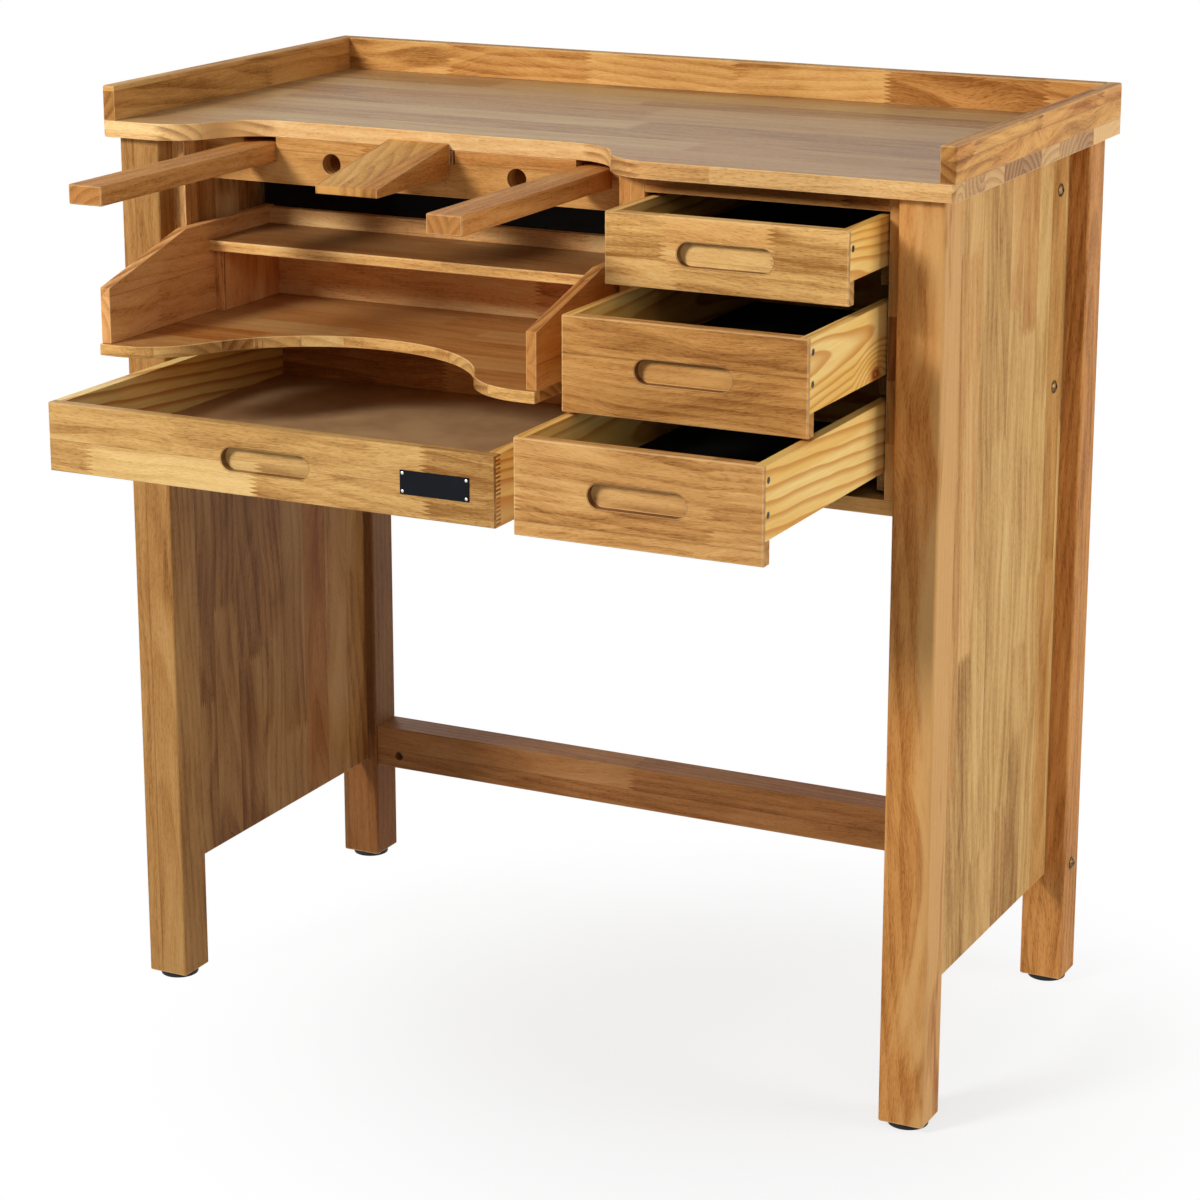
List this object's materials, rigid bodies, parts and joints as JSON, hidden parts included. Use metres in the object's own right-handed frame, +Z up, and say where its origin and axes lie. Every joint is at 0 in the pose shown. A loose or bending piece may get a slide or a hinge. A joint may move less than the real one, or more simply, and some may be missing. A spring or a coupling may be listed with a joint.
{
  "type": "jewelers bench",
  "caption": "Solid-wood jeweller's bench with recessed worktop, drawer bank, sweep drawer, cut-out tray, pull-out arm rests and bench pin.",
  "frame": {"origin": "on the floor, under the middle of the bench's outline with its drawers and tray standing open as modelled", "axes": "+Z up, -Y towards the sitter (front), +X to the right seen from the front"},
  "size_m": [0.914, 0.721, 0.963],
  "materials": {
    "oiled_hardwood": "oiled",
    "pale_pine": "satin",
    "brown_board": "satin",
    "black_board": "matte",
    "bronzed_steel": "satin",
    "zinc_steel": "satin",
    "black_foot": "matte"
  },
  "bodies": {
    "bench_frame": {"worktop": "oiled_hardwood", "rail_left": "oiled_hardwood", "rail_right": "oiled_hardwood", "rail_back": "oiled_hardwood", "leg_front_left": "oiled_hardwood", "leg_front_right": "oiled_hardwood", "leg_rear_left": "oiled_hardwood", "leg_rear_right": "oiled_hardwood", "end_panel_left": "oiled_hardwood", "end_panel_right": "oiled_hardwood", "rear_stretcher": "oiled_hardwood", "apron": "oiled_hardwood", "arm_guide_rail": "oiled_hardwood", "guide_board_left": "oiled_hardwood", "guide_board_right": "oiled_hardwood", "cabinet_side_left": "oiled_hardwood", "cabinet_side_right": "oiled_hardwood", "cabinet_base": "oiled_hardwood", "cabinet_top_rails": "oiled_hardwood", "panel_battens": "oiled_hardwood", "drawer_runners": "oiled_hardwood", "sweep_runners": "oiled_hardwood", "tray_runners": "oiled_hardwood", "stretcher_dowels": "oiled_hardwood", "top_dowels": "oiled_hardwood", "back_panel": "black_board", "panel_bolts": "bronzed_steel", "stretcher_bolts": "bronzed_steel", "insert_nuts": "zinc_steel", "barrel_nuts": "zinc_steel", "feet": "black_foot"},
    "drawer_1": {"drawer_1_front": "oiled_hardwood", "drawer_1_side_left": "pale_pine", "drawer_1_side_right": "pale_pine", "drawer_1_back": "pale_pine", "drawer_1_bottom": "black_board"},
    "drawer_2": {"drawer_2_front": "oiled_hardwood", "drawer_2_side_left": "pale_pine", "drawer_2_side_right": "pale_pine", "drawer_2_back": "pale_pine", "drawer_2_bottom": "black_board"},
    "drawer_3": {"drawer_3_front": "oiled_hardwood", "drawer_3_side_left": "pale_pine", "drawer_3_side_right": "pale_pine", "drawer_3_back": "pale_pine", "drawer_3_bottom": "black_board"},
    "sweep_drawer": {"sweep_front": "oiled_hardwood", "sweep_side_left": "pale_pine", "sweep_side_right": "pale_pine", "sweep_back": "pale_pine", "sweep_bottom": "brown_board"},
    "tray": {"tray_bottom": "oiled_hardwood", "tray_side_left": "oiled_hardwood", "tray_side_right": "oiled_hardwood", "tray_back": "oiled_hardwood", "tray_shelf": "oiled_hardwood", "tray_shelf_supports": "oiled_hardwood"},
    "arm_left": {"arm_left": "oiled_hardwood"},
    "arm_right": {"arm_right": "oiled_hardwood"},
    "bench_pin": {"bench_pin": "oiled_hardwood"}
  },
  "joints": [
    {"name": "drawer_1_slide", "type": "slide", "parent": "bench_frame", "child": "drawer_1", "axis": [0, -1, 0], "range_m": [-0.09, 0.24]},
    {"name": "drawer_2_slide", "type": "slide", "parent": "bench_frame", "child": "drawer_2", "axis": [0, -1, 0], "range_m": [-0.178, 0.152]},
    {"name": "drawer_3_slide", "type": "slide", "parent": "bench_frame", "child": "drawer_3", "axis": [0, -1, 0], "range_m": [-0.272, 0.058]},
    {"name": "sweep_drawer_slide", "type": "slide", "parent": "bench_frame", "child": "sweep_drawer", "axis": [0, -1, 0], "range_m": [-0.247, 0.083]},
    {"name": "tray_slide", "type": "slide", "parent": "bench_frame", "child": "tray", "axis": [0, -1, 0], "range_m": [-0.159, 0.088]},
    {"name": "arm_left_slide", "type": "slide", "parent": "bench_frame", "child": "arm_left", "axis": [0, -1, 0], "range_m": [-0.286, 0.02]},
    {"name": "arm_right_slide", "type": "slide", "parent": "bench_frame", "child": "arm_right", "axis": [0, -1, 0], "range_m": [-0.277, 0.029]},
    {"name": "bench_pin_slide", "type": "slide", "parent": "bench_frame", "child": "bench_pin", "axis": [0, -1, 0], "range_m": [0, 0.04]}
  ]
}
